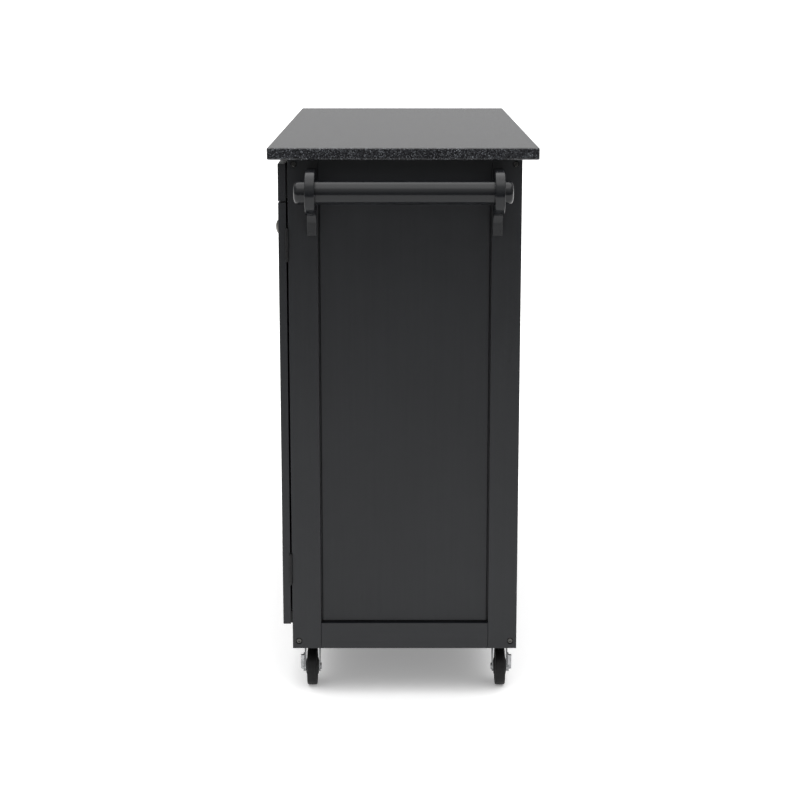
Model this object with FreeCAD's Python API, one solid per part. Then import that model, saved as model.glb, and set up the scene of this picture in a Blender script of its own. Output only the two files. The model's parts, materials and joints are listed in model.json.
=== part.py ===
import FreeCAD, Part
import math
import os
from FreeCAD import Vector

# Kitchen island cart: a stone worktop on a framed three-bay cabinet, with a towel bar on one end and four
# braked swivel casters. Millimetres. +Z is up, the doors face -Y and the towel bar stands on the +X end.
# Pieces are worked out about the middle of the worktop on the floor, and are saved about the middle of the
# footprint of the whole cart, which takes in the towel bar and the knobs.

# Overall
TOP_LENGTH = 1120.0
TOP_DEPTH = 430.0
HEIGHT = 920.75
TOP_THICK = 19.0
TOP_ARRIS = 2.5          # rounding of the worktop's edges
TOP_CORNER = 4.0         # rounding of the worktop's upright corners
END_OVERHANG = 30.0      # worktop beyond the end frames
FRONT_OVERHANG = 15.0    # worktop beyond the door faces
BACK_OVERHANG = 25.2     # worktop beyond the back

# Board and frame sections
FRAME_THICK = 18.0       # end frames and rails
STILE_WIDTH = 48.0
TOP_RAIL_HEIGHT = 44.0
BOTTOM_RAIL_HEIGHT = 44.0
EASE = 1.2               # eased edges on every framed face
PANEL_SHEET = 3.0        # panel thickness in its groove
PANEL_FIELD = 4.0        # how far the flat field stands out of the sheet
PANEL_MARGIN = 2.2       # groove left open around the field
PANEL_TONGUE = 7.0       # how far the sheet enters the frame
TONGUE_ROOM = 1.0        # space left at the bottom of the groove
END_PANEL_RECESS = 8.0   # field behind the end frame's face
PARTITION_THICK = 16.0
BOARD_THICK = 12.0       # bottom board
LOWER_RAIL_HEIGHT = 50.0  # front and back bottom rails
BACK_RAIL_HEIGHT = 60.0
BACK_SHEET = 5.0
MULLION_WIDTH = 50.0
MID_RAIL_HEIGHT = 12.0
MID_RAIL_DEPTH = 40.0

# Doors and upper row
DOOR_THICK = 12.5
DOOR_LIFT = 42.7         # doors above the bottom of the end frames
ROW_DROP = 8.25          # upper row of fronts below the worktop
ROW_HEIGHT = 60.0
ROW_GAP = 2.0            # between the doors and the upper row
SIDE_GAP = 2.5           # between neighbouring fronts
END_REVEAL = 1.5         # fronts stop this far short of the end frames' faces
DOOR_STILE = 52.0
DOOR_RAIL = 56.0
DOOR_PANEL_RECESS = 3.0

# Hinges
LEAF_HEIGHT = 51.0
LEAF_INSET = 2.0         # leaves stop this far from the end frame's inner face
LEAF_THICK = 1.2
LEAF_CLEAR = 0.6         # between the folded leaves
BARREL_R = 2.5
BARREL_PROUD = 2.9       # pin axis beyond the end frame's face
PIN_R = 1.3
PIN_CLEAR = 0.06
PIN_BUTTON = 1.6         # height of the buttons on the pin's ends
PIN_BUTTON_R = 2.2
PIN_BUTTON_TIP_R = 1.2
KNUCKLE_CLEAR = 0.25
HINGE_INSET = 96.0       # hinge centre from the lower end of the door
UPPER_HINGE_INSET = 67.5  # hinge centre from the upper end of the door

# Knobs
KNOB_R = 15.0
KNOB_REACH = 25.0
KNOB_CAP = 6.5           # height of the domed cap
KNOB_RIM = 2.0           # thickness of the cap's edge
KNOB_FOOT_R = 9.0
KNOB_FOOT = 2.0
KNOB_WAIST_R = 6.5
KNOB_FROM_EDGE = 28.0    # knob centre from the door's free edge
KNOB_DROP = 76.0         # knob centre below the top of the door

# Drawer
DRAWER_SIDE = 10.0
DRAWER_ROOM = 3.375      # above and below the drawer box
DRAWER_BACK_ROOM = 33.5  # behind the drawer box, to the back rail
DRAWER_SHEET = 4.0
DRAWER_SHEET_LIFT = 4.0  # bottom sheet above the lower edge of the sides
RUNNER_SPACE = 12.7      # each side of the drawer
RUNNER_HEIGHT = 27.0
RUNNER_SHEET = 1.2
RUNNER_END_GAP = 5.0     # runners short of each end of the drawer box
RUNNER_CLEAR = 0.5

# Shelves
SHELF_THICK = 15.0
SHELF_SETBACK = 22.0     # behind the cabinet's front
SHELF_CLEAR = 0.75       # each side
SHELF_RISE = 351.0       # top of the shelves above the bottom board
SHELF_PIN_R = 2.5
SHELF_PIN_WEB = 2.0      # wood left between the holes of two neighbouring bays
SHELF_PIN_OUT = 9.0
SHELF_PIN_BESIDE = 6.5   # wood between a hole and the panel's groove
SHELF_HOLE_STEP = 64.0

# Bolts through the end frames
BOLT_RISE = 13.0         # lower bolts above the bottom of the frame
BOLT_IN = 1.5            # bolts further in than the middle of the rails
BOLT_R = 3.0
BOLT_HEAD_R = 4.4
BOLT_HEAD_HEIGHT = 2.6
BOLT_HEAD_ROUND = 1.0
BOLT_SINK_R = 5.6
BOLT_SINK_DEPTH = 3.2
BOLT_BITE = 30.0
BOLT_HEX = 2.2           # socket radius across corners
BOLT_HEX_DEPTH = 1.6

# Towel bar
BRACKET_THICK = 15.5
BRACKET_FROM_PANEL = 1.3  # bracket's side from the inner edge of its stile
BRACKET_TOP_DROP = 14.75  # top of the bracket below the worktop
BRACKET_HEIGHT = 107.0
BRACKET_NOSE_R = 34.0
BRACKET_FOOT = 12.5      # tail's thickness at its lower end
BRACKET_LEAN = math.radians(6.0)  # tail's face from upright
BRACKET_FILLET = 20.0
BRACKET_EASE = 1.5
ROD_R = 18.5
ROD_OUT = 57.0           # rod axis from the end frame's face
ROD_END_OUT = 16.25      # rod beyond the brackets, before it is set forward
ROD_FORWARD = 2.2        # rod set towards the doors
ROD_DOME = 8.0
SCREW_R = 2.0
SCREW_HEAD_R = 4.0
SCREW_RISE = 15.0        # lower screws above the foot of the brackets
SCREW_WALL = 2.5         # wood in front of the screws' tips

# Casters
CASTER_END_INSET = 81.0  # swivel axis from the end frames' faces
STEM_FROM_FRONT = 8.0    # wood between the front stems and the front rail
STEM_FROM_BACK = 2.4     # wood between the back stems and the back rail
WHEEL_R = 32.0
WHEEL_WIDTH = 17.0
WHEEL_HUB_WIDTH = 22.0
WHEEL_HUB_R = 10.0
WHEEL_RIM_R = 24.0
WHEEL_SHOULDER = 2.0
WHEEL_DISH = 3.0         # depth of the dish between hub and rim
WHEEL_ROOM = 4.0         # between the wheel and the fork's top plate
TRAIL = 20.0             # wheel axle behind the swivel axis
AXLE_R = 4.0
AXLE_CLEAR = 0.06
AXLE_HEAD_R = 5.5
AXLE_HEAD = 2.0
FORK_SHEET = 2.0
FORK_HUB_CLEAR = 0.4     # each side of the hub
FORK_SKIRT = 5.0         # height of the fork's sides above its legs
FORK_BACK = 4.0          # fork's plate beyond the raceway, towards the wheel
FORK_EYE_R = 9.0
RACE_R = 13.0
RACE_HEIGHT = 6.0
RACE_ROUND = 2.5
RACE_CLEAR = 0.5         # between the raceway and the collar
STEM_R = 4.0
STEM_END_ROOM = 6.0      # wood over the end of the stem
KINGPIN_R = 5.0
KINGPIN_HEAD_R = 7.5
KINGPIN_HEAD = 2.5
COLLAR_R = 10.0          # over the corners of the hexagon
COLLAR_HEIGHT = 8.0
BLOCK_SIZE = 58.0
BRAKE_SHEET = 1.6
BRAKE_EYE_R = 9.5
BRAKE_REACH = 22.0       # top of the lever above the axle
BRAKE_TAB = 4.2
BRAKE_TAB_GAP = 1.5      # between the axle's head and the tab
BRAKE_TAB_DROP = 2.0     # foot of the tab below the axle
BRAKE_FLANGE = 5.0       # lip along the top of the tab
BRAKE_CLEAR = 0.4

# Magnetic catches
CATCH_LENGTH = 40.0
CATCH_HEIGHT = 12.0
CATCH_DEPTH = 18.0
CATCH_CLEAR = 0.4

# Door buffers
BUFFER_WIDTH = 12.0
BUFFER_HEIGHT = 20.0
BUFFER_IN = 6.0          # from the end frame's face
BUFFER_RISE = 0.5        # above the lower end of the door
BUFFER_CLEAR = 0.4       # between the buffer and the closed door

THROUGH = 100.0          # length of a cutter that passes right through a piece

# Levels and planes worked out from the sizes above
TOP_UNDER = HEIGHT - TOP_THICK
FORK_INSIDE = WHEEL_HUB_WIDTH + 2 * FORK_HUB_CLEAR
FORK_TOP_Z = 2 * WHEEL_R + WHEEL_ROOM + FORK_SHEET
RACE_TOP_Z = FORK_TOP_Z + RACE_HEIGHT
UNDERSIDE = RACE_TOP_Z + RACE_CLEAR + COLLAR_HEIGHT
FLOOR_Z = UNDERSIDE + LOWER_RAIL_HEIGHT
STEM_LENGTH = FLOOR_Z - BOARD_THICK - STEM_END_ROOM - UNDERSIDE
CASE_HALF = TOP_LENGTH / 2 - END_OVERHANG
INSIDE_HALF = CASE_HALF - FRAME_THICK
DOOR_FACE_Y = -TOP_DEPTH / 2 + FRONT_OVERHANG
DOOR_BACK_Y = DOOR_FACE_Y + DOOR_THICK
DOOR_GAP = 2 * LEAF_THICK + LEAF_CLEAR
CASE_FRONT = DOOR_BACK_Y + DOOR_GAP
CASE_BACK = TOP_DEPTH / 2 - BACK_OVERHANG
CASE_DEPTH = CASE_BACK - CASE_FRONT
CASE_MID_Y = (CASE_FRONT + CASE_BACK) / 2
ROW_TOP = TOP_UNDER - ROW_DROP
ROW_BOTTOM = ROW_TOP - ROW_HEIGHT
DOOR_TOP = ROW_BOTTOM - ROW_GAP
DOOR_BOTTOM = UNDERSIDE + DOOR_LIFT
DOOR_HEIGHT = DOOR_TOP - DOOR_BOTTOM
FRONT_RAIL_Z = TOP_UNDER - FRAME_THICK
MID_RAIL_Z = ROW_BOTTOM - ROW_GAP / 2 - MID_RAIL_HEIGHT / 2
MID_RAIL_TOP = MID_RAIL_Z + MID_RAIL_HEIGHT
BACK_RAIL_Z = TOP_UNDER - BACK_RAIL_HEIGHT
BACK_SHEET_Y = CASE_BACK - FRAME_THICK / 2 - BACK_SHEET / 2
BAY = (2 * INSIDE_HALF - 2 * PARTITION_THICK) / 3
BAY_HALF = BAY / 2
PARTITION_MID = BAY_HALF + PARTITION_THICK / 2
BOLT_INSET = FRAME_THICK / 2 + BOLT_IN
SHELF_TOP_Z = FLOOR_Z + SHELF_RISE
SHELF_PIN_DEPTH = (PARTITION_THICK - SHELF_PIN_WEB) / 2
SHELF_PIN_INSET = STILE_WIDTH - PANEL_TONGUE - SHELF_PIN_BESIDE - SHELF_PIN_R
DRAWER_BOX_HEIGHT = FRONT_RAIL_Z - MID_RAIL_TOP - 2 * DRAWER_ROOM
DRAWER_BACK_Y = CASE_BACK - FRAME_THICK - DRAWER_BACK_ROOM
BRACKET_INSET = STILE_WIDTH - BRACKET_FROM_PANEL - BRACKET_THICK / 2
BRACKET_SPACING = CASE_DEPTH - 2 * BRACKET_INSET
ROD_LENGTH = BRACKET_SPACING + BRACKET_THICK + 2 * ROD_END_OUT
BRACKET_TOP = TOP_UNDER - BRACKET_TOP_DROP
ROD_Z = BRACKET_TOP - BRACKET_NOSE_R
BAR_REACH = ROD_OUT + BRACKET_NOSE_R
DOOR_OUTER_X = CASE_HALF - END_REVEAL
DOOR_INNER_X = PARTITION_MID + SIDE_GAP / 2
DOOR_WIDTH = DOOR_OUTER_X - DOOR_INNER_X
HINGE_X = CASE_HALF + BARREL_PROUD
HINGE_Y = (CASE_FRONT + DOOR_BACK_Y) / 2
LEAF_EDGE = INSIDE_HALF + LEAF_INSET
HINGE_ZS = (DOOR_BOTTOM + HINGE_INSET, DOOR_TOP - UPPER_HINGE_INSET)
KNOB_X = DOOR_INNER_X + KNOB_FROM_EDGE
KNOB_Z = DOOR_TOP - KNOB_DROP
FRONT_CASTER_Y = CASE_FRONT + FRAME_THICK + STEM_FROM_FRONT + STEM_R
BACK_CASTER_Y = CASE_BACK - FRAME_THICK - STEM_FROM_BACK - STEM_R

# Swivel axes, with the side that the brake is on
CASTERS = {
    "right_front": (CASE_HALF - CASTER_END_INSET, FRONT_CASTER_Y, -1),
    "right_back": (CASE_HALF - CASTER_END_INSET, BACK_CASTER_Y, 1),
    "left_front": (-CASE_HALF + CASTER_END_INSET, FRONT_CASTER_Y, -1),
    "left_back": (-CASE_HALF + CASTER_END_INSET, BACK_CASTER_Y, 1),
}

# Middle of the whole footprint: towel bar to the far end of the worktop, knobs to the back of the worktop
MIDDLE = Vector((CASE_HALF + BAR_REACH - TOP_LENGTH / 2) / 2,
                (TOP_DEPTH / 2 + DOOR_FACE_Y - KNOB_REACH) / 2, 0)

X, Y, Z = Vector(1, 0, 0), Vector(0, 1, 0), Vector(0, 0, 1)
ORIGIN = Vector(0, 0, 0)


def box(x0, x1, y0, y1, z0, z1):
    return Part.makeBox(x1 - x0, y1 - y0, z1 - z0, Vector(x0, y0, z0))


def rod(radius, start, direction, length):
    return Part.makeCylinder(radius, length, start, direction)


def mirrored(shape):
    """The same piece on the other end of the cart."""
    return shape.mirror(ORIGIN, X)


def moved(shape, dx=0.0, dy=0.0, dz=0.0):
    return shape.translated(Vector(dx, dy, dz))


def save(node, *solids):
    shape = Part.Compound([solid.copy() for solid in solids]) if len(solids) > 1 else solids[0].copy()
    shape.translate(-MIDDLE)
    shape.exportStep("parts/" + node + ".step")


def edges_in_plane(shape, axis, value):
    """Edges whose every point has the given coordinate, axis being 0, 1 or 2."""
    def lies(edge):
        return all(abs(tuple(point)[axis] - value) < 1e-6 for point in edge.discretize(3))
    return [edge for edge in shape.Edges if lies(edge)]


def eased(shape, axis, value, radius=EASE):
    return shape.makeFillet(radius, edges_in_plane(shape, axis, value))


def polygon(points):
    """A face in the XZ plane from (x, z) pairs."""
    corners = [Vector(x, 0, z) for x, z in points]
    return Part.Face(Part.makePolygon(corners + corners[:1]))


def worktop():
    slab = box(-TOP_LENGTH / 2, TOP_LENGTH / 2, -TOP_DEPTH / 2, TOP_DEPTH / 2, TOP_UNDER, HEIGHT)
    uprights = [edge for edge in slab.Edges if abs(edge.Length - TOP_THICK) < 1e-6]
    slab = slab.makeFillet(TOP_CORNER, uprights)
    return eased(eased(slab, 2, HEIGHT, TOP_ARRIS), 2, TOP_UNDER, TOP_ARRIS)


def framed_panel(width, height, thick, stile, top_rail, bottom_rail, recess):
    """Stiles, rails and grooved panel, standing on the origin with its face in the XZ plane towards -Y."""
    field_back = recess + PANEL_FIELD
    x0, x1 = stile, width - stile
    z0, z1 = bottom_rail, height - top_rail
    room = box(x0 - PANEL_TONGUE, x1 + PANEL_TONGUE, field_back, field_back + PANEL_SHEET,
               z0 - PANEL_TONGUE, z1 + PANEL_TONGUE)
    tongue = PANEL_TONGUE - TONGUE_ROOM
    sheet = box(x0 - tongue, x1 + tongue, field_back, field_back + PANEL_SHEET, z0 - tongue, z1 + tongue)
    field = box(x0 + PANEL_MARGIN, x1 - PANEL_MARGIN, recess, field_back,
                z0 + PANEL_MARGIN, z1 - PANEL_MARGIN)
    boards = {
        "near_stile": box(0, stile, 0, thick, 0, height),
        "far_stile": box(x1, width, 0, thick, 0, height),
        "top_rail": box(x0, x1, 0, thick, z1, height),
        "bottom_rail": box(x0, x1, 0, thick, 0, z0),
    }
    pieces = {name: eased(board, 1, 0).cut(room) for name, board in boards.items()}
    pieces["panel"] = sheet.fuse(eased(field, 1, recess)).removeSplitter()
    return pieces


def bolt_places():
    """(y, z) of the bolts through an end frame into the rails, the lower two first."""
    ys = (CASE_FRONT + BOLT_INSET, CASE_BACK - BOLT_INSET)
    return [(y, z) for z in (UNDERSIDE + BOLT_RISE, TOP_UNDER - FRAME_THICK / 2) for y in ys]


def frame_bolt(y, z):
    """Bolt from the +X end: its head sits on the bottom of the counterbore."""
    seat = CASE_HALF - BOLT_SINK_DEPTH
    head = rod(BOLT_HEAD_R, Vector(seat, y, z), X, BOLT_HEAD_HEIGHT)
    head = eased(head, 0, seat + BOLT_HEAD_HEIGHT, BOLT_HEAD_ROUND)
    corners = [Vector(seat + BOLT_HEAD_HEIGHT, y + BOLT_HEX * math.cos(k * math.pi / 3),
                      z + BOLT_HEX * math.sin(k * math.pi / 3)) for k in range(7)]
    socket = Part.Face(Part.makePolygon(corners)).extrude(Vector(-BOLT_HEX_DEPTH, 0, 0))
    shank_length = FRAME_THICK - BOLT_SINK_DEPTH + BOLT_BITE
    return head.cut(socket).fuse(rod(BOLT_R, Vector(seat, y, z), -X, shank_length)).removeSplitter()


def bolt_holes():
    """Counterbores and clearance holes through the end frame, and the tapped length in the rails."""
    cuts = []
    for y, z in bolt_places():
        cuts.append(rod(BOLT_SINK_R, Vector(CASE_HALF - BOLT_SINK_DEPTH, y, z), X, BOLT_SINK_DEPTH))
        cuts.append(rod(BOLT_R, Vector(CASE_HALF, y, z), -X, FRAME_THICK + BOLT_BITE))
    return cuts


def shelf_pin_places():
    """(y, z) of the three rows of shelf holes, and the middle row in use."""
    ys = (CASE_FRONT + SHELF_PIN_INSET, CASE_BACK - SHELF_PIN_INSET)
    pin_z = SHELF_TOP_Z - SHELF_THICK - SHELF_PIN_R
    return [(y, pin_z + step * SHELF_HOLE_STEP) for step in (-1, 0, 1) for y in ys], pin_z


def shelf_holes(wall_x, inward):
    """Shelf-pin holes drilled into a wall whose surface is at wall_x, away from the bay."""
    direction = X if inward > 0 else -X
    places, _ = shelf_pin_places()
    return [rod(SHELF_PIN_R, Vector(wall_x, y, z), direction, SHELF_PIN_DEPTH) for y, z in places]


def bracket_places():
    return (CASE_MID_Y - BRACKET_SPACING / 2, CASE_MID_Y + BRACKET_SPACING / 2)


def bracket_screw_zs():
    """One screw into the thick of the bracket and one into its tail."""
    return (BRACKET_TOP - BRACKET_NOSE_R / 2, BRACKET_TOP - BRACKET_HEIGHT + SCREW_RISE)


def end_frame():
    """The +X end frame before any bolt or towel-bar hole, in its place."""
    pieces = framed_panel(CASE_DEPTH, TOP_UNDER - UNDERSIDE, FRAME_THICK, STILE_WIDTH, TOP_RAIL_HEIGHT,
                          BOTTOM_RAIL_HEIGHT, END_PANEL_RECESS)
    placed = {}
    for name, piece in pieces.items():
        placed[name] = piece.rotated(ORIGIN, Z, 90).translated(Vector(CASE_HALF, CASE_FRONT, UNDERSIDE))
    drilled = bolt_holes() + shelf_holes(INSIDE_HALF, 1)
    placed["near_stile"] = placed["near_stile"].cut(drilled)
    placed["far_stile"] = placed["far_stile"].cut(drilled)
    return placed


def towel_bracket(y):
    """Nose around the rod, flat top back to the frame, and a tail down the stile."""
    out = CASE_HALF
    bottom = BRACKET_TOP - BRACKET_HEIGHT
    nose_bottom = ROD_Z - BRACKET_NOSE_R
    centre_x = out + ROD_OUT
    lean_x, lean_z = math.cos(BRACKET_LEAN), math.sin(BRACKET_LEAN)
    hollow_z = nose_bottom - BRACKET_FILLET
    fillet_end_z = hollow_z + BRACKET_FILLET * lean_z
    fillet_end_x = out + BRACKET_FOOT + (fillet_end_z - bottom) * math.tan(BRACKET_LEAN)
    hollow_x = fillet_end_x + BRACKET_FILLET * lean_x
    half_bend = math.pi / 4 - BRACKET_LEAN / 2
    points = {
        "top_wall": Vector(out, 0, BRACKET_TOP),
        "top_nose": Vector(centre_x, 0, BRACKET_TOP),
        "nose": Vector(centre_x + BRACKET_NOSE_R, 0, ROD_Z),
        "under_nose": Vector(centre_x, 0, nose_bottom),
        "fillet_start": Vector(hollow_x, 0, nose_bottom),
        "fillet_mid": Vector(hollow_x - BRACKET_FILLET * math.sin(half_bend), 0,
                             hollow_z + BRACKET_FILLET * math.cos(half_bend)),
        "fillet_end": Vector(fillet_end_x, 0, fillet_end_z),
        "foot": Vector(out + BRACKET_FOOT, 0, bottom),
        "wall": Vector(out, 0, bottom),
    }
    edges = [
        Part.LineSegment(points["top_wall"], points["top_nose"]).toShape(),
        Part.Arc(points["top_nose"], points["nose"], points["under_nose"]).toShape(),
        Part.LineSegment(points["under_nose"], points["fillet_start"]).toShape(),
        Part.Arc(points["fillet_start"], points["fillet_mid"], points["fillet_end"]).toShape(),
        Part.LineSegment(points["fillet_end"], points["foot"]).toShape(),
        Part.LineSegment(points["foot"], points["wall"]).toShape(),
        Part.LineSegment(points["wall"], points["top_wall"]).toShape(),
    ]
    face = Part.Face(Part.Wire(edges)).translated(Vector(0, y - BRACKET_THICK / 2, 0))
    solid = face.extrude(Vector(0, BRACKET_THICK, 0))
    rims = [edge for side in (-1, 1) for edge in edges_in_plane(solid, 1, y + side * BRACKET_THICK / 2)
            if edge.BoundBox.XMax > out + 1e-6]
    solid = solid.makeFillet(BRACKET_EASE, rims)
    solid = solid.cut(rod(ROD_R, Vector(centre_x, y - BRACKET_THICK, ROD_Z), Y, 2 * BRACKET_THICK))
    return solid.cut([bracket_screw(y, z) for z in bracket_screw_zs()])


def towel_rod():
    start = CASE_MID_Y - ROD_FORWARD - ROD_LENGTH / 2
    bar = rod(ROD_R, Vector(CASE_HALF + ROD_OUT, start, ROD_Z), Y, ROD_LENGTH)
    return eased(eased(bar, 1, start, ROD_DOME), 1, start + ROD_LENGTH, ROD_DOME)


def bracket_screw(y, z):
    """Screw from inside the cabinet, its countersunk head flush with the stile."""
    start = Vector(INSIDE_HALF, y, z)
    head = Part.makeCone(SCREW_HEAD_R, SCREW_R, SCREW_HEAD_R - SCREW_R, start, X)
    return head.fuse(rod(SCREW_R, start, X, FRAME_THICK + BRACKET_FOOT - SCREW_WALL)).removeSplitter()


def knob(x, z):
    """Mushroom knob standing on the face of a front at x, z: foot, waist, flared underside and domed cap."""
    rim_y = -KNOB_REACH + KNOB_CAP
    flare = Vector(KNOB_R - KNOB_RIM, rim_y + KNOB_RIM, 0)
    waist_y = (rim_y + KNOB_RIM - KNOB_FOOT) / 2
    sphere_r = (KNOB_R ** 2 + KNOB_CAP ** 2) / (2 * KNOB_CAP)
    half_angle = math.asin(KNOB_R / sphere_r) / 2
    crown = Vector(sphere_r * math.sin(half_angle), -KNOB_REACH + sphere_r * (1 - math.cos(half_angle)), 0)
    corners = [Vector(0, 0, 0), Vector(KNOB_FOOT_R, 0, 0), Vector(KNOB_FOOT_R, -KNOB_FOOT, 0), flare,
               Vector(KNOB_R, rim_y, 0), Vector(0, -KNOB_REACH, 0)]
    profile = [
        Part.LineSegment(corners[0], corners[1]).toShape(),
        Part.LineSegment(corners[1], corners[2]).toShape(),
        Part.Arc(corners[2], Vector(KNOB_WAIST_R, waist_y, 0), flare).toShape(),
        Part.LineSegment(flare, corners[4]).toShape(),
        Part.Arc(corners[4], crown, corners[5]).toShape(),
        Part.LineSegment(corners[5], corners[0]).toShape(),
    ]
    turned = Part.makeSolid(Part.Face(Part.Wire(profile)).revolve(ORIGIN, Y, 360))
    return turned.translated(Vector(x, DOOR_FACE_Y, z))


def knuckle_spans(z):
    """Lower, middle and upper knuckle of a hinge centred at z."""
    third = LEAF_HEIGHT / 3
    low = z - LEAF_HEIGHT / 2
    return [(low + k * third, low + (k + 1) * third) for k in range(3)]


def hinge_leaf(z, on_door):
    """One leaf with its knuckles: the case takes the outer two, the door the middle one."""
    face = DOOR_BACK_Y if on_door else CASE_FRONT
    y0, y1 = (face, face + LEAF_THICK) if on_door else (face - LEAF_THICK, face)
    low, high = z - LEAF_HEIGHT / 2, z + LEAF_HEIGHT / 2
    plate_edge = HINGE_X - BARREL_R - KNUCKLE_CLEAR
    leaf = box(LEAF_EDGE, plate_edge, y0, y1, low, high)
    spans = knuckle_spans(z)
    own = [spans[1]] if on_door else [spans[0], spans[2]]
    bore_r = PIN_R + PIN_CLEAR if on_door else PIN_R
    for span_low, span_high in own:
        inset = KNUCKLE_CLEAR if on_door else 0
        z0, z1 = span_low + inset, span_high - inset
        leaf = leaf.fuse(box(plate_edge, HINGE_X, y0, y1, z0, z1))
        leaf = leaf.fuse(rod(BARREL_R, Vector(HINGE_X, HINGE_Y, z0), Z, z1 - z0))
    leaf = leaf.cut(rod(bore_r, Vector(HINGE_X, HINGE_Y, low), Z, LEAF_HEIGHT))
    return leaf.removeSplitter()


def hinge_pin(z):
    """Pin with a button at each end."""
    low, high = z - LEAF_HEIGHT / 2, z + LEAF_HEIGHT / 2
    pin = rod(PIN_R, Vector(HINGE_X, HINGE_Y, low), Z, LEAF_HEIGHT)
    for end, out in ((low, -Z), (high, Z)):
        place = Vector(HINGE_X, HINGE_Y, end)
        pin = pin.fuse(Part.makeCone(PIN_BUTTON_R, PIN_BUTTON_TIP_R, PIN_BUTTON, place, out))
    return pin.removeSplitter()


def fascia():
    """Fixed front over the +X door, with its backing block glued between the rails."""
    front = box(DOOR_INNER_X, DOOR_OUTER_X, DOOR_FACE_Y, DOOR_BACK_Y, ROW_BOTTOM, ROW_TOP)
    front = eased(front, 1, DOOR_FACE_Y)
    block = box(PARTITION_MID + PARTITION_THICK / 2, INSIDE_HALF, DOOR_BACK_Y, CASE_FRONT + FRAME_THICK,
                MID_RAIL_TOP, FRONT_RAIL_Z)
    return front.fuse(block).removeSplitter()


def runner(on_drawer):
    """Channel along the +X side of the drawer: the cabinet's opens inwards, the drawer's opens outwards."""
    half = RUNNER_HEIGHT / 2 if not on_drawer else RUNNER_HEIGHT / 2 - RUNNER_SHEET - RUNNER_CLEAR
    mid = MID_RAIL_TOP + (FRONT_RAIL_Z - MID_RAIL_TOP) / 2
    wall = BAY_HALF
    drawer_side = BAY_HALF - RUNNER_SPACE
    depth = RUNNER_SPACE - RUNNER_SHEET - 2 * RUNNER_CLEAR
    x0, x1 = (drawer_side, drawer_side + depth) if on_drawer else (wall - depth, wall)
    y0, y1 = DOOR_BACK_Y + RUNNER_END_GAP, DRAWER_BACK_Y - RUNNER_END_GAP
    channel = box(x0, x1, y0, y1, mid - half, mid + half)
    web = RUNNER_SHEET
    hollow_x = (x0 + web, x1) if on_drawer else (x0, x1 - web)
    return channel.cut(box(*hollow_x, y0, y1, mid - half + web, mid + half - web))


def drawer():
    """Side, back and bottom of the shallow middle drawer; the bottom sits in grooves."""
    x1 = BAY_HALF - RUNNER_SPACE
    x0 = x1 - DRAWER_SIDE
    z0 = MID_RAIL_TOP + DRAWER_ROOM
    z1 = z0 + DRAWER_BOX_HEIGHT
    y0, y1 = DOOR_BACK_Y, DRAWER_BACK_Y
    sheet_z = z0 + DRAWER_SHEET_LIFT
    tongue = DRAWER_SIDE / 2
    sheet = box(-x0 - tongue, x0 + tongue, y0, y1 - tongue, sheet_z, sheet_z + DRAWER_SHEET)
    side = box(x0, x1, y0, y1, z0, z1).cut(sheet)
    back = box(-x0, x0, y1 - DRAWER_SIDE, y1, z0, z1).cut(sheet)
    front = box(-PARTITION_MID + SIDE_GAP / 2, PARTITION_MID - SIDE_GAP / 2, DOOR_FACE_Y, DOOR_BACK_Y,
                ROW_BOTTOM, ROW_TOP)
    return eased(front, 1, DOOR_FACE_Y), side, back, sheet


def tangent_points(point, centre, radius):
    """The two points where lines from a point touch a circle, as (x, z) pairs."""
    dx, dz = centre[0] - point[0], centre[1] - point[1]
    distance = math.hypot(dx, dz)
    reach = math.sqrt(distance ** 2 - radius ** 2)
    spread = math.asin(radius / distance)
    heading = math.atan2(dz, dx)
    return [(point[0] + reach * math.cos(heading + side * spread),
             point[1] + reach * math.sin(heading + side * spread)) for side in (-1, 1)]


def caster_fork(x, y):
    """Stamped fork under its raceway. The legs lean back to the axle."""
    top = FORK_TOP_Z
    half = FORK_INSIDE / 2 + FORK_SHEET
    front, back = -RACE_R, RACE_R + FORK_BACK
    knee = top - FORK_SKIRT
    axle = (TRAIL, WHEEL_R)
    front_touch = tangent_points((front, knee), axle, FORK_EYE_R)[0]
    back_touch = tangent_points((back, knee), axle, FORK_EYE_R)[1]
    outline = [(front, top), (front, knee), front_touch, axle, back_touch, (back, knee), (back, top)]
    face = polygon(outline)
    fork = box(front, back, -half, half, top - FORK_SHEET, top)
    for side in (-1, 1):
        start = side * half if side < 0 else half - FORK_SHEET
        leg = moved(face.extrude(Vector(0, FORK_SHEET, 0)), 0, start)
        eye = rod(FORK_EYE_R, Vector(TRAIL, start, WHEEL_R), Y, FORK_SHEET)
        fork = fork.fuse([leg, eye])
    race = rod(RACE_R, Vector(0, 0, top), Z, RACE_TOP_Z - top)
    fork = fork.fuse(eased(race, 2, RACE_TOP_Z, RACE_ROUND)).removeSplitter()
    fork = fork.cut(rod(KINGPIN_R + AXLE_CLEAR, Vector(0, 0, top - FORK_SHEET), Z, RACE_HEIGHT + FORK_SHEET))
    return moved(fork.cut(rod(AXLE_R, Vector(TRAIL, -THROUGH / 2, WHEEL_R), Y, THROUGH)), x, y)


def caster_axle(x, y, outward):
    """Axle rivet, longer on the brake side to take the lever under its head."""
    half = FORK_INSIDE / 2 + FORK_SHEET
    brake_end = half + BRAKE_CLEAR + BRAKE_SHEET + BRAKE_CLEAR
    pin = rod(AXLE_R, Vector(TRAIL, -half, WHEEL_R), Y, half + brake_end)
    for end, out in ((-half, -Y), (brake_end, Y)):
        pin = pin.fuse(rod(AXLE_HEAD_R, Vector(TRAIL, end, WHEEL_R), out, AXLE_HEAD))
    pin = pin.removeSplitter()
    return moved(pin if outward > 0 else pin.mirror(ORIGIN, Y), x, y)


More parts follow.
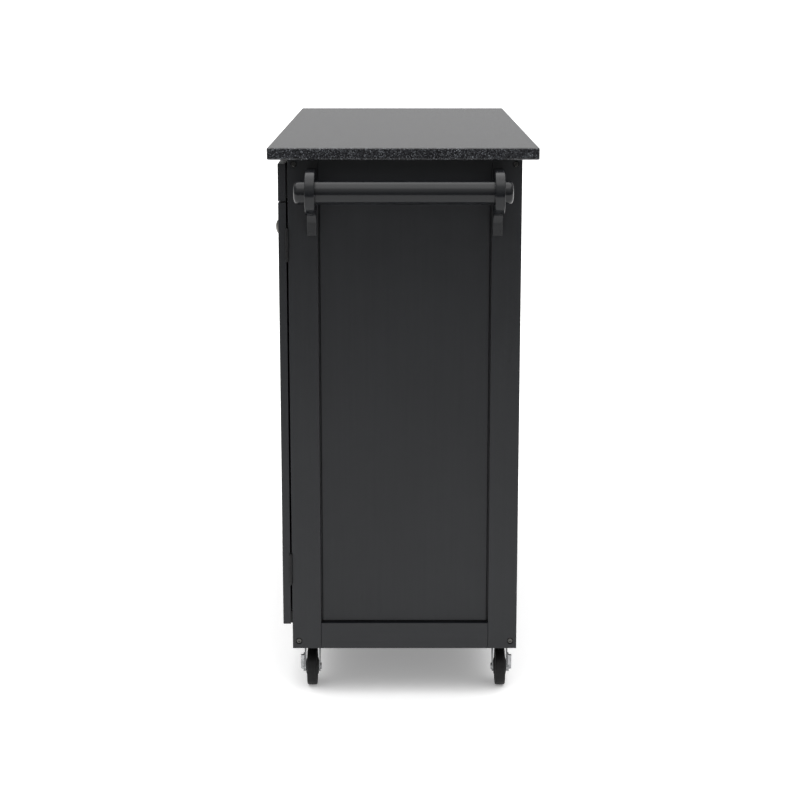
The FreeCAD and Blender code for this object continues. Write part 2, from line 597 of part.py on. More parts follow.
def caster_wheel(x, y):
    """Tyre, dished web and hub turned as one piece."""
    half, hub = WHEEL_WIDTH / 2, WHEEL_HUB_WIDTH / 2
    tyre = rod(WHEEL_R, Vector(0, -half, 0), Y, WHEEL_WIDTH)
    tyre = eased(eased(tyre, 1, -half, WHEEL_SHOULDER), 1, half, WHEEL_SHOULDER)
    for side in (-1, 1):
        start, inward = Vector(0, side * half, 0), Y * -side
        dish = rod(WHEEL_RIM_R, start, inward, WHEEL_DISH).cut(rod(WHEEL_HUB_R, start, inward, WHEEL_DISH))
        tyre = tyre.cut(dish)
    wheel = tyre.fuse(rod(WHEEL_HUB_R, Vector(0, -hub, 0), Y, WHEEL_HUB_WIDTH)).removeSplitter()
    wheel = wheel.cut(rod(AXLE_R + AXLE_CLEAR, Vector(0, -THROUGH / 2, 0), Y, THROUGH))
    return moved(wheel, x + TRAIL, y, WHEEL_R)


def caster_brake(x, y, outward):
    """Side lever on the axle, with a tab bent outwards for a finger or toe."""
    inner = FORK_INSIDE / 2 + FORK_SHEET + BRAKE_CLEAR
    outer = inner + BRAKE_SHEET + BRAKE_TAB
    tab_x = AXLE_HEAD_R + BRAKE_TAB_GAP
    edge_x = tab_x + BRAKE_SHEET
    eye = rod(BRAKE_EYE_R, Vector(0, inner, 0), Y, BRAKE_SHEET)
    arm = box(-tab_x, edge_x, inner, inner + BRAKE_SHEET, 0, BRAKE_REACH)
    tab = box(tab_x, edge_x, inner, outer, -BRAKE_TAB_DROP, BRAKE_REACH)
    flange = box(tab_x - BRAKE_FLANGE, edge_x, inner, outer, BRAKE_REACH - BRAKE_SHEET, BRAKE_REACH)
    lever = eye.fuse([arm, tab, flange]).removeSplitter()
    lever = lever.cut(rod(AXLE_R + AXLE_CLEAR, ORIGIN, Y, THROUGH))
    lever = lever if outward > 0 else lever.mirror(ORIGIN, Y)
    return moved(lever, x + TRAIL, y, WHEEL_R)


def caster_stem(x, y):
    """Threaded stem, hexagonal collar and the kingpin that the fork turns on."""
    collar_z = UNDERSIDE - COLLAR_HEIGHT
    corners = [Vector(COLLAR_R * math.cos(k * math.pi / 3), COLLAR_R * math.sin(k * math.pi / 3), collar_z)
               for k in range(7)]
    collar = Part.Face(Part.makePolygon(corners)).extrude(Vector(0, 0, COLLAR_HEIGHT))
    head_z = FORK_TOP_Z - FORK_SHEET - AXLE_CLEAR - KINGPIN_HEAD
    stem = collar.fuse([
        rod(STEM_R, Vector(0, 0, UNDERSIDE), Z, STEM_LENGTH),
        rod(KINGPIN_R, Vector(0, 0, head_z), Z, collar_z - head_z),
        rod(KINGPIN_HEAD_R, Vector(0, 0, head_z), Z, KINGPIN_HEAD),
    ])
    return moved(stem.removeSplitter(), x, y)


def caster_block(x, y):
    """Block in the corner behind the rails that takes a stem."""
    side = 1 if x > 0 else -1
    x0, x1 = sorted((side * INSIDE_HALF, side * (INSIDE_HALF - BLOCK_SIZE - FRAME_THICK)))
    if y < CASE_MID_Y:
        y0, y1 = CASE_FRONT + FRAME_THICK, CASE_FRONT + FRAME_THICK + BLOCK_SIZE
    else:
        y0, y1 = CASE_BACK - FRAME_THICK - BLOCK_SIZE, CASE_BACK - FRAME_THICK
    block = box(x0, x1, y0, y1, UNDERSIDE, FLOOR_Z - BOARD_THICK)
    return block.cut(rod(STEM_R, Vector(x, y, UNDERSIDE), Z, STEM_LENGTH))


def catch():
    """Magnetic catch under the rail behind the top free corner of the +X door."""
    x0 = PARTITION_MID + PARTITION_THICK / 2
    y0 = DOOR_BACK_Y + CATCH_CLEAR
    return box(x0, x0 + CATCH_LENGTH, y0, y0 + CATCH_DEPTH, MID_RAIL_Z - CATCH_HEIGHT, MID_RAIL_Z)


def buffer():
    """Rubber buffer on the front edge of the +X end frame, behind the lower corner of the door."""
    z0 = DOOR_BOTTOM + BUFFER_RISE
    x1 = CASE_HALF - BUFFER_IN
    return box(x1 - BUFFER_WIDTH, x1, DOOR_BACK_Y + BUFFER_CLEAR, CASE_FRONT, z0, z0 + BUFFER_HEIGHT)


def build_ends():
    right = end_frame()
    left = {name: mirrored(piece) for name, piece in right.items()}
    screw_holes = [bracket_screw(y, z) for y in bracket_places() for z in bracket_screw_zs()]
    save("right_front_stile", right["near_stile"].cut(screw_holes))
    save("right_back_stile", right["far_stile"].cut(screw_holes))
    save("right_top_rail", right["top_rail"])
    save("right_bottom_rail", right["bottom_rail"])
    save("right_panel", right["panel"])
    save("left_stiles", left["near_stile"], left["far_stile"])
    save("left_rails", left["top_rail"], left["bottom_rail"])
    save("left_panel", left["panel"])
    bolts = [frame_bolt(y, z) for y, z in bolt_places()]
    save("frame_bolts", *bolts, *[mirrored(bolt) for bolt in bolts])
    save("towel_bar_screws", *screw_holes)


def build_carcase():
    holes = bolt_holes()
    holes += [mirrored(hole) for hole in holes]
    front_y = (CASE_FRONT, CASE_FRONT + FRAME_THICK)
    back_y = (CASE_BACK - FRAME_THICK, CASE_BACK)
    long_x = (-INSIDE_HALF, INSIDE_HALF)
    sheet = box(*long_x, BACK_SHEET_Y, BACK_SHEET_Y + BACK_SHEET, FLOOR_Z - PANEL_TONGUE,
                BACK_RAIL_Z + PANEL_TONGUE)
    top_front = box(*long_x, *front_y, FRONT_RAIL_Z, TOP_UNDER).cut(holes)
    top_back = box(*long_x, *back_y, BACK_RAIL_Z, TOP_UNDER).cut(holes + [sheet])
    save("front_top_rail", top_front)
    save("back_top_rail", top_back)
    save("front_bottom_rail", box(*long_x, *front_y, UNDERSIDE, FLOOR_Z).cut(holes))
    save("back_bottom_rail", box(*long_x, *back_y, UNDERSIDE, FLOOR_Z).cut(holes + [sheet]))
    save("back_panel", sheet)
    mullion = box(PARTITION_MID - MULLION_WIDTH / 2, PARTITION_MID + MULLION_WIDTH / 2,
                  BACK_SHEET_Y + BACK_SHEET, CASE_BACK, FLOOR_Z, BACK_RAIL_Z)
    mullion = eased(mullion, 1, CASE_BACK)
    save("back_mullions", mullion, mirrored(mullion))
    save("bottom_board", box(*long_x, front_y[1], back_y[0], FLOOR_Z - BOARD_THICK, FLOOR_Z))
    x0, x1 = BAY_HALF, BAY_HALF + PARTITION_THICK
    partition = box(x0, x1, CASE_FRONT, BACK_SHEET_Y, FLOOR_Z, TOP_UNDER).cut([top_front, top_back])
    partition = partition.cut(shelf_holes(x0, 1) + shelf_holes(x1, -1))
    save("partitions", partition, mirrored(partition))
    bays = (-BAY - PARTITION_THICK, 0.0, BAY + PARTITION_THICK)
    rail = box(-BAY_HALF, BAY_HALF, CASE_FRONT, CASE_FRONT + MID_RAIL_DEPTH, MID_RAIL_Z, MID_RAIL_TOP)
    save("mid_rails", *[moved(rail, dx) for dx in bays])
    shelf = box(-BAY_HALF + SHELF_CLEAR, BAY_HALF - SHELF_CLEAR, CASE_FRONT + SHELF_SETBACK,
                BACK_SHEET_Y - SHELF_CLEAR, SHELF_TOP_Z - SHELF_THICK, SHELF_TOP_Z)
    save("adjustable_shelves", *[moved(eased(shelf, 1, CASE_FRONT + SHELF_SETBACK), dx) for dx in bays])
    places, pin_z = shelf_pin_places()
    pin = rod(SHELF_PIN_R, Vector(0, 0, 0), X, SHELF_PIN_DEPTH + SHELF_PIN_OUT)
    pins = []
    for dx in bays:
        for y, z in places:
            if z == pin_z:
                pins.append(moved(pin, dx - BAY_HALF - SHELF_PIN_DEPTH, y, z))
                pins.append(moved(pin, dx + BAY_HALF - SHELF_PIN_OUT, y, z))
    save("shelf_pins", *pins)
    save("door_catches", catch(), mirrored(catch()), buffer(), mirrored(buffer()))
    save("fascias", fascia(), mirrored(fascia()))


def build_doors():
    pieces = framed_panel(DOOR_WIDTH, DOOR_HEIGHT, DOOR_THICK, DOOR_STILE, DOOR_RAIL, DOOR_RAIL,
                          DOOR_PANEL_RECESS)
    pieces = {name: moved(piece, DOOR_INNER_X, DOOR_FACE_Y, DOOR_BOTTOM) for name, piece in pieces.items()}
    leaves = [hinge_leaf(z, True) for z in HINGE_ZS]
    case_leaves = [hinge_leaf(z, False) for z in HINGE_ZS]
    pins = [hinge_pin(z) for z in HINGE_ZS]
    for side, place in (("right", lambda shape: shape), ("left", mirrored)):
        save(side + "_door_stiles", place(pieces["near_stile"]), place(pieces["far_stile"]))
        save(side + "_door_rails", place(pieces["top_rail"]), place(pieces["bottom_rail"]))
        save(side + "_door_panel", place(pieces["panel"]))
        save(side + "_door_knob", place(knob(KNOB_X, KNOB_Z)))
        save(side + "_door_hinge_leaves", *[place(leaf) for leaf in leaves])
    save("hinge_case_leaves", *case_leaves, *[mirrored(leaf) for leaf in case_leaves])
    save("hinge_pins", *pins, *[mirrored(pin) for pin in pins])


def build_drawer():
    front, side, back, sheet = drawer()
    save("drawer_front", front)
    save("drawer_sides", side, mirrored(side))
    save("drawer_back", back)
    save("drawer_bottom", sheet)
    save("drawer_knob", knob(0, (ROW_BOTTOM + ROW_TOP) / 2))
    save("drawer_slides", runner(True), mirrored(runner(True)))
    save("drawer_runners", runner(False), mirrored(runner(False)))


def build_towel_bar():
    front, back = bracket_places()
    save("towel_bracket_front", towel_bracket(front))
    save("towel_bracket_back", towel_bracket(back))
    save("towel_rod", towel_rod())


def build_casters():
    save("caster_blocks", *[caster_block(x, y) for x, y, _ in CASTERS.values()])
    save("caster_stems", *[caster_stem(x, y) for x, y, _ in CASTERS.values()])
    for name, (x, y, outward) in CASTERS.items():
        save("caster_fork_" + name, caster_fork(x, y), caster_axle(x, y, outward))
        save("caster_wheel_" + name, caster_wheel(x, y))
        save("caster_brake_" + name, caster_brake(x, y, outward))


os.makedirs("parts", exist_ok=True)
save("granite_top", worktop())
build_ends()
build_carcase()
build_doors()
build_drawer()
build_towel_bar()
build_casters()
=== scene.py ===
import json
import math

import bmesh
import bpy
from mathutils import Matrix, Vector


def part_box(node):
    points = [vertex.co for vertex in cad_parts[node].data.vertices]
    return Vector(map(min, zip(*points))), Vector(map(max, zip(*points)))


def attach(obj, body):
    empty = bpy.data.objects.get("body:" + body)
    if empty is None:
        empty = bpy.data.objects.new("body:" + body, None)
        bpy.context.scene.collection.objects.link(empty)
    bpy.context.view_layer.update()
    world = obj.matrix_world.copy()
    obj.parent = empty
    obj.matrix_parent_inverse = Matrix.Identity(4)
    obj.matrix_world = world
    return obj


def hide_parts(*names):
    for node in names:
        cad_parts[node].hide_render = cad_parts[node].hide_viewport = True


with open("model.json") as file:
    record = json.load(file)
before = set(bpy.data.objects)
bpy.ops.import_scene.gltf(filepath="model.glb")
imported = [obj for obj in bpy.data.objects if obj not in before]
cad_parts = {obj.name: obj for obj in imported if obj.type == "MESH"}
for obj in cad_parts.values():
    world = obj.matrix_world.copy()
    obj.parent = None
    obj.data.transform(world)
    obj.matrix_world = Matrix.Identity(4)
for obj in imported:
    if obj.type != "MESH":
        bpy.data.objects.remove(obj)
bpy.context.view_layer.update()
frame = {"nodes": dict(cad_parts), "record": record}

# The camera looks along -X at the end of the cart that carries the towel bar
CAMERA_PLACE = (3.5375, 0.0, 1.149)
CAMERA_PITCH = 11.88     # degrees below level
CAMERA_LENS = 85.7       # mm on a 36 mm sensor
CAMERA_SENSOR = 36.0

FLOOR_FRONT = 3.2        # floor on the towel bar's side; behind, it runs far back
FLOOR_RADIUS = 20.0
FLOOR_SIDES = 192
FLOOR_PAINTED_GLOW = 0.24        # glow painted into the floor, though it is no lamp: painted light that lifts the shadow under the cart
BACKDROP = 1.2           # white that the camera sees behind the cart
SKY_BELOW = 0.16         # light from under the horizon, past the floor
SKY_HORIZON = 0.24       # added above the horizon
SKY_TOP = 2.3            # added overhead
FRONT_LIGHT = 0.5        # added high on the towel bar's side

# Cells of noise or crystal per metre
GRAIN_ALONG = 5.0
GRAIN_ACROSS = 160.0
LACQUER_CLOUD = 4.0
LACQUER_SPRAY = 1400.0
LACQUER_SCUFFS = 22.0
STONE_WOBBLE = 420.0
STONE_COARSE = 780.0
STONE_FINE = 1350.0
STONE_PATCHES = 60.0
STONE_POLISH = 260.0
METAL_CLOUD = 90.0
METAL_PITS = 1600.0
MOULD_CLOUD = 120.0
MOULD_SCUFFS = 300.0
MOULD_TEXTURE = 2600.0
FLOOR_CLOUD = 30.0

STONE_SHIFT = 0.0012     # metres that the crystals' outlines wander

MM = 0.001
TURN_SIDES = 96
SHARP = math.radians(38.0)


class Look:
    """A material in the making: a principled shader, and short calls that add the nodes in front of it."""

    def __init__(self, name, **sockets):
        self.material = bpy.data.materials.new(name)
        self.material.use_nodes = True
        self.tree = self.material.node_tree
        self.tree.nodes.clear()
        output = self.tree.nodes.new("ShaderNodeOutputMaterial")
        values = {key.replace("_", " "): value for key, value in sockets.items()}
        self.shader = self.node("BsdfPrincipled", values)
        self.tree.links.new(self.shader.outputs["BSDF"], output.inputs["Surface"])
        self.bumped = None

    def node(self, kind, inputs, **settings):
        made = self.tree.nodes.new("ShaderNode" + kind)
        for setting, value in settings.items():
            setattr(made, setting, value)
        for socket, value in inputs.items():
            self.feed(made.inputs[socket], value)
        return made

    def feed(self, socket, value):
        if isinstance(value, bpy.types.NodeSocket):
            self.tree.links.new(value, socket)
        else:
            socket.default_value = value

    def place(self, scale=(1.0, 1.0, 1.0)):
        """The piece's own coordinates in metres, stretched."""
        coordinates = self.node("TexCoord", {}).outputs["Object"]
        return self.node("Mapping", {"Vector": coordinates, "Scale": scale}).outputs["Vector"]

    def noise(self, vector, scale, detail=3.0, roughness=0.5, distortion=0.0):
        inputs = {"Vector": vector, "Scale": scale, "Detail": detail, "Roughness": roughness,
                  "Distortion": distortion}
        return self.node("TexNoise", inputs).outputs["Fac"]

    def cells(self, vector, scale):
        """A random grey for each grain of a crystal pattern."""
        colour = self.node("TexVoronoi", {"Vector": vector, "Scale": scale}).outputs["Color"]
        return self.node("SeparateColor", {"Color": colour}).outputs["Red"]

    def span(self, value, low, high, to_low, to_high):
        inputs = {"Value": value, "From Min": low, "From Max": high, "To Min": to_low, "To Max": to_high}
        return self.node("MapRange", inputs).outputs["Result"]

    def sum(self, kind, first, second):
        return self.node("Math", {0: first, 1: second}, operation=kind).outputs["Value"]

    def mix(self, share, first, second):
        made = self.node("Mix", {"Factor": share}, data_type="RGBA")
        self.feed(made.inputs[6], first)
        self.feed(made.inputs[7], second)
        return made.outputs[2]

    def steps(self, value, stops):
        """A stepped choice of colour: each holds from its place up to the next."""
        made = self.node("ValToRGB", {"Fac": value})
        made.color_ramp.interpolation = "CONSTANT"
        elements = made.color_ramp.elements
        while len(elements) < len(stops):
            elements.new(1.0)
        for element, (place, colour) in zip(elements, stops):
            element.position = place
            element.color = (*colour, 1.0)
        return made.outputs["Color"]

    def bump(self, height, strength, distance):
        inputs = {"Height": height, "Strength": strength, "Distance": distance}
        if self.bumped is not None:
            inputs["Normal"] = self.bumped
        self.bumped = self.node("Bump", inputs).outputs["Normal"]
        self.feed(self.shader.inputs["Normal"], self.bumped)

    def colour(self, value):
        self.feed(self.shader.inputs["Base Color"], value)

    def roughness(self, value):
        self.feed(self.shader.inputs["Roughness"], value)


def rgba(red, green, blue):
    return (red, green, blue, 1.0)


WHITE = rgba(1.0, 1.0, 1.0)


def lacquer(name, grain, dark, light, rough, level):
    """Satin lacquer on wood: the grain shows faintly along one axis, under a fine spray texture."""
    look = Look(name, Specular_IOR_Level=level)
    stretch = [GRAIN_ACROSS] * 3
    stretch["XYZ".index(grain)] = GRAIN_ALONG
    figure = look.noise(look.place(stretch), 1.0, 5.0, 0.6, 0.4)
    flat = look.place()
    cloud = look.noise(flat, LACQUER_CLOUD, 3.0, 0.55)
    spray = look.noise(flat, LACQUER_SPRAY, 2.0, 0.5)
    share = look.sum("ADD", look.sum("MULTIPLY", figure, 0.45), look.sum("MULTIPLY", cloud, 0.55))
    look.colour(look.mix(look.span(share, 0.35, 0.65, 0.0, 1.0), rgba(*dark), rgba(*light)))
    scuffs = look.noise(flat, LACQUER_SCUFFS, 6.0, 0.7)
    worn = look.sum("ADD", scuffs, look.sum("MULTIPLY", figure, 0.3))
    look.roughness(look.span(worn, 0.45, 0.85, rough - 0.025, rough + 0.03))
    look.bump(figure, 0.10, 0.0004)
    look.bump(spray, 0.06, 0.0001)
    return look.material


def granite():
    """Polished dark stone: black and charcoal grains, with blue-grey and pale flecks of two sizes."""
    look = Look("granite", Specular_IOR_Level=0.5, Roughness=0.1)
    flat = look.place()
    wobble = look.node("TexNoise", {"Vector": flat, "Scale": STONE_WOBBLE, "Detail": 3.0}).outputs["Color"]
    shift = look.node("VectorMath", {0: wobble, "Scale": STONE_SHIFT}, operation="SCALE").outputs["Vector"]
    warped = look.node("VectorMath", {0: flat, 1: shift}, operation="ADD").outputs["Vector"]
    coarse = look.cells(warped, STONE_COARSE)
    fine = look.cells(warped, STONE_FINE)
    body = look.steps(coarse, [(0.0, (0.004, 0.004, 0.005)), (0.42, (0.008, 0.008, 0.010)),
                               (0.62, (0.016, 0.016, 0.020)), (0.82, (0.044, 0.046, 0.050)),
                               (0.94, (0.14, 0.148, 0.160))])
    flecks = look.steps(fine, [(0.0, (0.0, 0.0, 0.0)), (0.82, (0.040, 0.043, 0.047)),
                               (0.94, (0.23, 0.245, 0.265))])
    patches = look.span(look.noise(flat, STONE_PATCHES, 2.0), 0.40, 0.62, 0.25, 1.0)
    veiled = look.node("Mix", {"Factor": patches}, data_type="RGBA", blend_type="ADD")
    look.feed(veiled.inputs[6], body)
    look.feed(veiled.inputs[7], flecks)
    look.colour(veiled.outputs[2])
    look.roughness(look.span(coarse, 0.0, 1.0, 0.09, 0.16))
    look.bump(look.noise(flat, STONE_POLISH, 2.0), 0.03, 0.0001)
    return look.material


def metal(name, dark, light, rough, bump, scale=METAL_CLOUD, metallic=1.0, level=0.5):
    """Plated or painted metal with a cloudy tone, fine pitting and scuffs in its gloss."""
    look = Look(name, Metallic=metallic, Specular_IOR_Level=level)
    flat = look.place()
    cloud = look.noise(flat, scale, 5.0, 0.6)
    look.colour(look.mix(look.span(cloud, 0.35, 0.65, 0.0, 1.0), rgba(*dark), rgba(*light)))
    scuffs = look.noise(flat, scale * 3.0, 5.0, 0.7)
    look.roughness(look.span(scuffs, 0.3, 0.7, rough - 0.08, rough + 0.1))
    look.bump(look.noise(flat, METAL_PITS, 3.0, 0.6), bump, 0.0002)
    return look.material


def moulded(name, dark, light, rough, bump, level):
    """Moulded rubber or plastic with a fine matt texture."""
    look = Look(name, Specular_IOR_Level=level)
    flat = look.place()
    look.colour(look.mix(look.noise(flat, MOULD_CLOUD, 4.0, 0.6), rgba(*dark), rgba(*light)))
    scuffs = look.noise(flat, MOULD_SCUFFS, 4.0, 0.6)
    look.roughness(look.span(scuffs, 0.3, 0.7, rough - 0.06, rough + 0.08))
    look.bump(look.noise(flat, MOULD_TEXTURE, 2.0, 0.5), bump, 0.0001)
    return look.material


# Outlines of the turned pieces, in millimetres, as (radius, distance along the axis)
WHEEL_OUTLINE = (
    (31.85, 0.5), (31.85, 4.0), (31.7, 6.2), (31.3, 7.5), (30.4, 8.3), (29.2, 8.5), (25.6, 8.5), (24.5, 8.3),
    (24.0, 7.4), (23.7, 6.2), (22.9, 5.7), (18.0, 5.7), (17.3, 6.3), (16.9, 7.3), (15.6, 8.9), (13.4, 10.1),
    (10.4, 10.8), (7.0, 11.0), (4.1, 11.0))
KNOB_OUTLINE = (
    (0.0, 0.0), (8.7, 0.0), (9.0, 0.4), (9.0, 1.6), (8.6, 2.1), (7.6, 2.5), (6.9, 4.0), (6.5, 6.6),
    (6.6, 9.4), (7.4, 12.0), (9.0, 14.2), (11.4, 15.9), (13.6, 16.9), (14.7, 17.6), (15.0, 18.4),
    (14.8, 19.1), (14.1, 19.5), (13.7, 19.5), (13.3, 19.9), (12.2, 21.0), (10.0, 22.5), (7.0, 23.8),
    (3.6, 24.7), (0.0, 25.0))
ROD_END = (
    (0.0, 0.0), (7.0, 0.05), (12.0, 0.5), (14.8, 1.3), (16.6, 2.6), (17.8, 4.6), (18.4, 7.2), (18.5, 10.0))


def metres(outline):
    return [(radius * MM, distance * MM) for radius, distance in outline]


def link(name, shape, material, body, node):
    """Makes the finished mesh a piece that stands for a CAD node."""
    bmesh.ops.recalc_face_normals(shape, faces=shape.faces)
    mesh = bpy.data.meshes.new(name)
    shape.to_mesh(mesh)
    shape.free()
    mesh.polygons.foreach_set("use_smooth", [True] * len(mesh.polygons))
    mesh.set_sharp_from_angle(angle=SHARP)
    mesh.materials.append(material)
    piece = bpy.data.objects.new(name, mesh)
    bpy.context.scene.collection.objects.link(piece)
    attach(piece, body)
    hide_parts(node)


def turned(outline, start, along):
    """Turns an outline of (radius, distance) about the line from start.

    A radius of nothing closes the shape to a point. An outline that starts off the axis is a closed ring.
    """
    shape = bmesh.new()
    side = along.orthogonal().normalized()
    other = along.cross(side)
    rings = []
    for radius, distance in outline:
        centre = start + along * distance
        spots = 1 if radius == 0.0 else TURN_SIDES
        turns = [2.0 * math.pi * k / TURN_SIDES for k in range(spots)]
        rings.append([shape.verts.new(centre + (side * math.cos(turn) + other * math.sin(turn)) * radius)
                      for turn in turns])
    closed = outline[0][0] > 0.0
    following = rings[1:] + rings[:1] if closed else rings[1:]
    for first, second in zip(rings, following):
        for k in range(TURN_SIDES):
            after = (k + 1) % TURN_SIDES
            corners = [first[k % len(first)], first[after % len(first)],
                       second[after % len(second)], second[k % len(second)]]
            shape.faces.new(list(dict.fromkeys(corners)))
    return shape


def wheels(material):
    """Tyres with a faint mould line, dished webs and domed thread guards round the hubs."""
    for place in ("right_front", "right_back", "left_front", "left_back"):
        node = "caster_wheel_" + place
        low, high = map(Vector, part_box(node))
        half = metres(WHEEL_OUTLINE)
        mould_line = [((high.z - low.z) / 2, 0.0)]
        outline = mould_line + half + [(radius, -distance) for radius, distance in reversed(half)]
        shape = turned(outline, (low + high) / 2, Vector((0.0, 1.0, 0.0)))
        link("wheel_" + place, shape, material, node, node)


def knobs(material):
    """Turned knobs with a fine step round the crown of the cap."""
    for body in ("right_door", "left_door", "drawer"):
        node = body + "_knob"
        low, high = map(Vector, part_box(node))
        foot = Vector(((low.x + high.x) / 2, high.y, (low.z + high.z) / 2))
        shape = turned(metres(KNOB_OUTLINE), foot, Vector((0.0, -1.0, 0.0)))
        link("turned_" + node, shape, material, body, node)


def towel_rod(material):
    """Turned rod with softly domed ends."""
    low, high = map(Vector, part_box("towel_rod"))
    length = high.y - low.y
    end = metres(ROD_END)
    outline = end + [(radius, length - distance) for radius, distance in reversed(end)]
    start = Vector(((low.x + high.x) / 2, low.y, (low.z + high.z) / 2))
    shape = turned(outline, start, Vector((0.0, 1.0, 0.0)))
    link("turned_towel_rod", shape, material, "cabinet", "towel_rod")


# Grain runs along Z unless a node is named here
GRAIN_X = (
    "front_top_rail", "front_bottom_rail", "back_top_rail", "back_bottom_rail", "bottom_board", "mid_rails",
    "adjustable_shelves", "fascias", "drawer_front", "drawer_back", "right_door_rails", "left_door_rails")
GRAIN_Y = (
    "right_top_rail", "right_bottom_rail", "left_rails", "towel_rod", "drawer_sides", "drawer_bottom")
PANELS = ("right_panel", "left_panel", "right_door_panel", "left_door_panel", "back_panel")
TOWEL_BAR = ("towel_rod", "towel_bracket_front", "towel_bracket_back")

# Name, dark and light tone, roughness and specular level, by use
WOOD_FINISHES = {
    "frame": ("lacquer_frame", (0.0055, 0.0062, 0.0078), (0.0085, 0.0094, 0.0114), 0.38, 0.37),
    # The panel lacquer is the frame lacquer made darker: painted shade for the recessed panels
    "panel": ("lacquer_panel_painted_shade", (0.0045, 0.0052, 0.0068), (0.0072, 0.0081, 0.0100), 0.40, 0.36),
    "bar": ("lacquer_bar", (0.0050, 0.0056, 0.0068), (0.0078, 0.0086, 0.0102), 0.19, 0.32),
    "raw": ("stain_inside", (0.0140, 0.0125, 0.0115), (0.0260, 0.0230, 0.0205), 0.60, 0.30),
}


def grain_of(node):
    return "X" if node in GRAIN_X else "Y" if node in GRAIN_Y else "Z"


def finishes():
    """The materials by slot, and the lacquers by use and grain."""
    lacquers = {}
    for grain in "XYZ":
        for use, (name, dark, light, rough, level) in WOOD_FINISHES.items():
            full_name = name + "_" + grain.lower()
            lacquers[use, grain] = lacquer(full_name, grain, dark, light, rough, level)
    slots = {
        "speckled_granite": granite(),
        "dark_metal": metal(
            "antique_pewter", (0.10, 0.095, 0.088), (0.19, 0.18, 0.165), rough=0.42, bump=0.12),
        "black_hardware": metal(
            "black_hardware", (0.003, 0.003, 0.0035), (0.007, 0.007, 0.0075), rough=0.45, bump=0.08,
            metallic=0.0, level=0.25),
        "nickel_screws": metal(
            "dark_nickel", (0.05, 0.05, 0.048), (0.10, 0.098, 0.094), rough=0.14, bump=0.05, scale=400.0),
        "zinc": metal(
            "zinc_plate", (0.25, 0.255, 0.26), (0.40, 0.405, 0.415), rough=0.28, bump=0.08, scale=160.0),
        "black_wheel": moulded(
            "wheel_rubber", (0.004, 0.004, 0.0042), (0.008, 0.008, 0.0083), rough=0.5, bump=0.1, level=0.22),
        "black_plastic": moulded(
            "catch_plastic", (0.008, 0.008, 0.008), (0.014, 0.014, 0.014), rough=0.45, bump=0.1, level=0.35),
    }
    return slots, lacquers


def dress(nodes, slots, lacquers):
    """Gives every CAD node the material of its slot."""
    slot_of = {part["node"]: part["material_slot"] for part in frame["record"]["subparts"]}
    for name, piece in nodes.items():
        slot = slot_of[name]
        if slot == "black_lacquer":
            # Panels take the darker lacquer, painted shade for their recess
            use = "panel" if name in PANELS else "bar" if name in TOWEL_BAR else "frame"
            material = lacquers[use, grain_of(name)]
        elif slot == "inner_wood":
            material = lacquers["raw", grain_of(name)]
        else:
            material = slots[slot]
        piece.data.materials.clear()
        piece.data.materials.append(material)


def studio_floor():
    """A plain pale round of floor, which also glows: painted light that lifts the shadow under the cart."""
    around = [2.0 * math.pi * k / FLOOR_SIDES for k in range(FLOOR_SIDES)]
    middle = FLOOR_FRONT - FLOOR_RADIUS
    rim = [(middle + FLOOR_RADIUS * math.cos(turn), FLOOR_RADIUS * math.sin(turn), 0.0) for turn in around]
    mesh = bpy.data.meshes.new("floor")
    mesh.from_pydata(rim, [], [tuple(range(FLOOR_SIDES))])
    floor = bpy.data.objects.new("floor", mesh)
    bpy.context.scene.collection.objects.link(floor)
    # The floor's emission is painted light, a glow that brightens the shade under the cart
    look = Look("floor", Roughness=0.9, Specular_IOR_Level=0.1, Emission_Color=WHITE,
                Emission_Strength=FLOOR_PAINTED_GLOW)
    cloud = look.noise(look.place(), FLOOR_CLOUD)
    look.colour(look.mix(cloud, rgba(0.90, 0.90, 0.90), rgba(0.92, 0.92, 0.92)))
    mesh.materials.append(look.material)


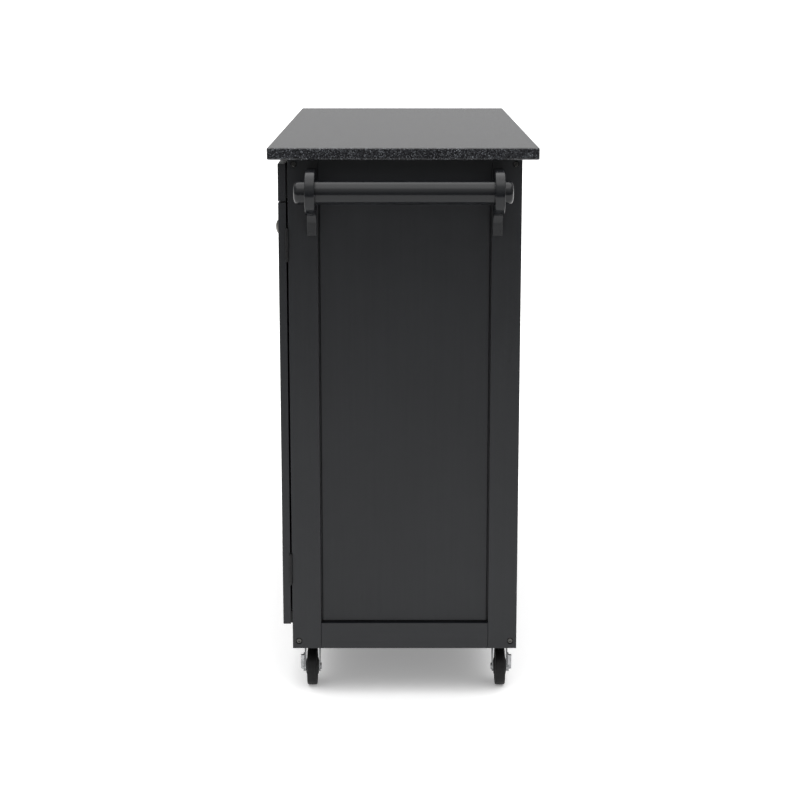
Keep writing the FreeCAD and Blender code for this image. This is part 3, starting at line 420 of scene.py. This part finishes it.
def studio_light():
    """A soft sky: dim at the horizon, bright overhead, with a broad light over the towel bar's side."""
    world = bpy.data.worlds.new("studio")
    world.use_nodes = True
    tree = world.node_tree
    tree.nodes.clear()

    def node(kind, inputs, **settings):
        made = tree.nodes.new("ShaderNode" + kind)
        for setting, value in settings.items():
            setattr(made, setting, value)
        for socket, value in inputs.items():
            if isinstance(value, bpy.types.NodeSocket):
                tree.links.new(value, made.inputs[socket])
            else:
                made.inputs[socket].default_value = value
        return made

    def rise(value, low, high, top):
        inputs = {"Value": value, "From Min": low, "From Max": high, "To Min": 0.0, "To Max": top}
        return node("MapRange", inputs, interpolation_type="SMOOTHSTEP").outputs["Result"]

    def join(kind, first, second):
        return node("Math", {0: first, 1: second}, operation=kind).outputs["Value"]

    direction = node("TexCoord", {}).outputs["Generated"]
    split = node("SeparateXYZ", {"Vector": direction})
    side, height = split.outputs["X"], split.outputs["Z"]
    above = join("ADD", rise(height, -0.02, 0.06, SKY_HORIZON), rise(height, 0.55, 0.93, SKY_TOP))
    overhead = join("ADD", above, SKY_BELOW)
    broad = join("MULTIPLY", rise(side, 0.2, 0.8, FRONT_LIGHT), rise(height, 0.15, 0.45, 1.0))
    sky = node("Background", {"Color": WHITE, "Strength": join("ADD", overhead, broad)})
    white = node("Background", {"Color": WHITE, "Strength": BACKDROP})
    seen = node("LightPath", {}).outputs["Is Camera Ray"]
    choose = node("MixShader", {"Fac": seen, 1: sky.outputs["Background"], 2: white.outputs["Background"]})
    node("OutputWorld", {"Surface": choose.outputs["Shader"]})
    bpy.context.scene.world = world


def camera():
    data = bpy.data.cameras.new("camera")
    data.sensor_width = CAMERA_SENSOR
    data.lens = CAMERA_LENS
    eye = bpy.data.objects.new("camera", data)
    eye.location = CAMERA_PLACE
    eye.rotation_euler = (math.radians(90.0 - CAMERA_PITCH), 0.0, math.radians(90.0))
    bpy.context.scene.collection.objects.link(eye)
    bpy.context.scene.camera = eye


camera()
studio_floor()
studio_light()
bpy.context.scene.view_settings.view_transform = "Standard"
slots, lacquers = finishes()
dress(frame["nodes"], slots, lacquers)
wheels(slots["black_wheel"])
knobs(slots["dark_metal"])
towel_rod(lacquers["bar", "Y"])
